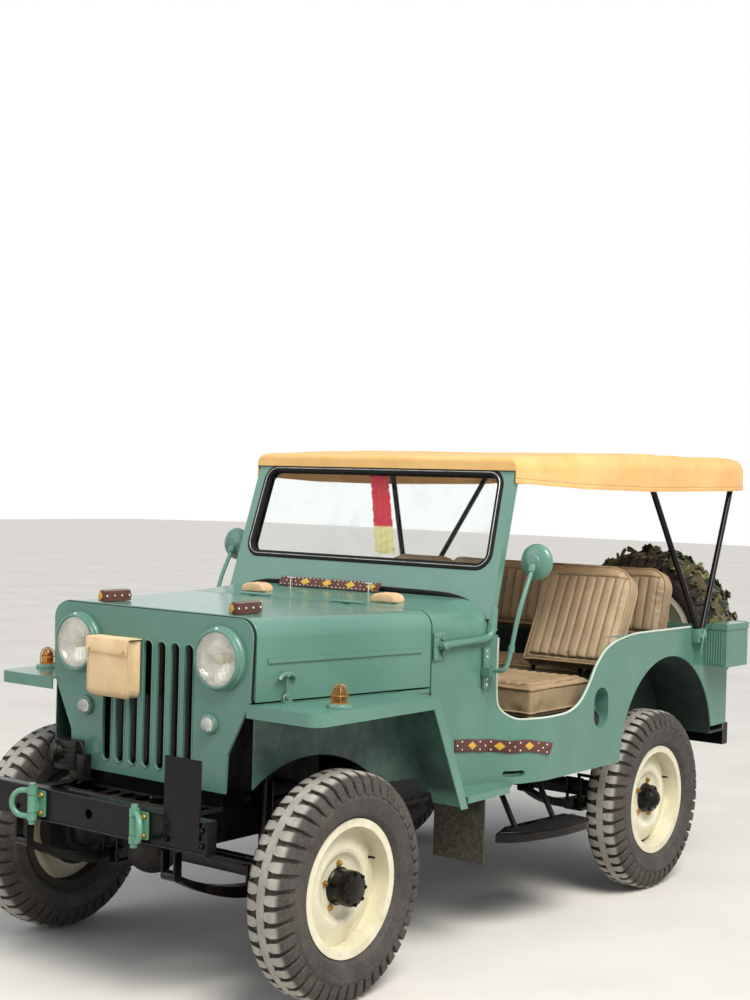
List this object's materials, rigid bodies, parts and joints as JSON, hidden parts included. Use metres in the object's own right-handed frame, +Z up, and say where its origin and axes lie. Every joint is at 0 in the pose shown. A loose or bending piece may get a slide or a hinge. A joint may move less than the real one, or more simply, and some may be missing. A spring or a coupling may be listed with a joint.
{
  "type": "army 4x4 car",
  "caption": "Open four-wheel-drive army car with flat fenders, high hood, slotted grille, upright screen and a canvas roof on hoops.",
  "frame": {"origin": "on the ground under the middle of the car's bounding box", "axes": "+X to the car's left, +Y to its rear, +Z up"},
  "size_m": [1.7192, 3.3852, 1.808],
  "materials": {
    "black_paint": "gloss",
    "black_rubber": "matt",
    "canvas": "woven",
    "cast_steel": "oily",
    "cloth": "soft",
    "cream_paint": "gloss",
    "glass": "clear",
    "green_paint": "gloss",
    "leather": "studded",
    "lens": "ribbed",
    "light_green_paint": "gloss",
    "mirror_back": "gloss",
    "tyre_rubber": "dusty",
    "vinyl": "pleated"
  },
  "bodies": {
    "car": {"body_sides": "green_paint", "canopy": "canvas", "canopy_bows": "black_paint", "canvas_bags": "canvas", "cowl": "green_paint", "dashboard": "green_paint", "engine": "cast_steel", "exhaust": "cast_steel", "floor_pan": "green_paint", "foot_steps": "black_paint", "frame": "black_paint", "front_axle": "cast_steel", "front_bumper": "black_paint", "front_fenders": "green_paint", "fuel_tank": "black_paint", "grille": "green_paint", "hanging_cloth": "cloth", "headlamps": "lens", "hood_latches": "green_paint", "leaf_springs": "black_paint", "mirrors": "mirror_back", "mudflaps": "black_rubber", "propshafts": "black_paint", "radiator": "black_paint", "rear_axle": "cast_steel", "rear_panel": "green_paint", "seat_backs": "vinyl", "seat_cushions": "vinyl", "seat_frames": "black_paint", "shock_absorbers": "black_paint", "side_boxes": "green_paint", "small_lamps": "lens", "spare_carrier": "green_paint", "spare_rim": "cream_paint", "spare_tyre": "tyre_rubber", "steering_column": "black_paint", "step_plates": "green_paint", "straps": "leather", "tow_shackles": "light_green_paint", "wheelhouses": "green_paint", "windscreen_frame": "green_paint", "windscreen_glass": "glass"},
    "knuckle_left": {"knuckle_left": "cast_steel"},
    "knuckle_right": {"knuckle_right": "cast_steel"},
    "tie_rod": {"tie_rod": "black_paint"},
    "drop_arm": {"drop_arm": "black_paint"},
    "drag_link": {"drag_link": "black_paint"},
    "steering_wheel": {"steering_wheel": "black_rubber"},
    "hood": {"hood": "green_paint", "hood_blocks": "leather"},
    "lid_left": {"box_lid_left": "green_paint"},
    "lid_right": {"box_lid_right": "green_paint"},
    "wheel_front_left": {"tyre_front_left": "tyre_rubber", "wheel_front_left": "cream_paint"},
    "wheel_front_right": {"tyre_front_right": "tyre_rubber", "wheel_front_right": "cream_paint"},
    "wheel_rear_left": {"tyre_rear_left": "tyre_rubber", "wheel_rear_left": "cream_paint"},
    "wheel_rear_right": {"tyre_rear_right": "tyre_rubber", "wheel_rear_right": "cream_paint"}
  },
  "joints": [
    {"name": "steer_left", "type": "hinge", "parent": "car", "child": "knuckle_left", "pos_m": [0.545, -1.14764, 0.368], "axis": [0, 0, 1], "range_deg": [-28, 28]},
    {"name": "steer_right", "type": "hinge", "parent": "car", "child": "knuckle_right", "pos_m": [-0.545, -1.14764, 0.368], "axis": [0, 0, 1], "range_deg": [-28, 28]},
    {"name": "tie_rod_pin", "type": "hinge", "parent": "knuckle_left", "child": "tie_rod", "pos_m": [0.545, -1.29764, 0.426], "axis": [0, 0, 1], "range_deg": [-28, 28]},
    {"name": "drop_arm_shaft", "type": "hinge", "parent": "car", "child": "drop_arm", "pos_m": [-0.411, -0.89764, 0.638], "axis": [1, 0, 0], "range_deg": [-28, 28]},
    {"name": "drag_link_pin", "type": "hinge", "parent": "drop_arm", "child": "drag_link", "pos_m": [-0.393, -0.89764, 0.486], "axis": [1, 0, 0], "range_deg": [-28, 28]},
    {"name": "steering_wheel_turn", "type": "hinge", "parent": "car", "child": "steering_wheel", "pos_m": [-0.4, -0.02764, 1.165], "axis": [-0.0395, 0.859, 0.5105], "range_deg": [-336, 336]},
    {"name": "hood_hinge", "type": "hinge", "parent": "car", "child": "hood", "pos_m": [0, -0.59464, 1.222], "axis": [-1, 0, 0], "range_deg": [0, 115]},
    {"name": "lid_left_hinge", "type": "hinge", "parent": "car", "child": "lid_left", "pos_m": [0.8, 1.41836, 1.088], "axis": [-1, 0, 0], "range_deg": [0, 100]},
    {"name": "lid_right_hinge", "type": "hinge", "parent": "car", "child": "lid_right", "pos_m": [-0.8, 1.41836, 1.088], "axis": [-1, 0, 0], "range_deg": [0, 100]},
    {"name": "spin_front_left", "type": "hinge", "parent": "knuckle_left", "child": "wheel_front_left", "pos_m": [0.65, -1.14764, 0.368], "axis": [1, 0, 0], "continuous": true},
    {"name": "spin_front_right", "type": "hinge", "parent": "knuckle_right", "child": "wheel_front_right", "pos_m": [-0.65, -1.14764, 0.368], "axis": [1, 0, 0], "continuous": true},
    {"name": "spin_rear_left", "type": "hinge", "parent": "car", "child": "wheel_rear_left", "pos_m": [0.65, 0.88436, 0.368], "axis": [1, 0, 0], "continuous": true},
    {"name": "spin_rear_right", "type": "hinge", "parent": "car", "child": "wheel_rear_right", "pos_m": [-0.65, 0.88436, 0.368], "axis": [1, 0, 0], "continuous": true}
  ],
  "couplings": [
    {"joint": "steer_right", "follows": "steer_left", "ratio": 1},
    {"joint": "tie_rod_pin", "follows": "steer_left", "ratio": -1},
    {"joint": "drop_arm_shaft", "follows": "steer_left", "ratio": 1},
    {"joint": "drag_link_pin", "follows": "steer_left", "ratio": -1},
    {"joint": "steering_wheel_turn", "follows": "steer_left", "ratio": 12}
  ]
}
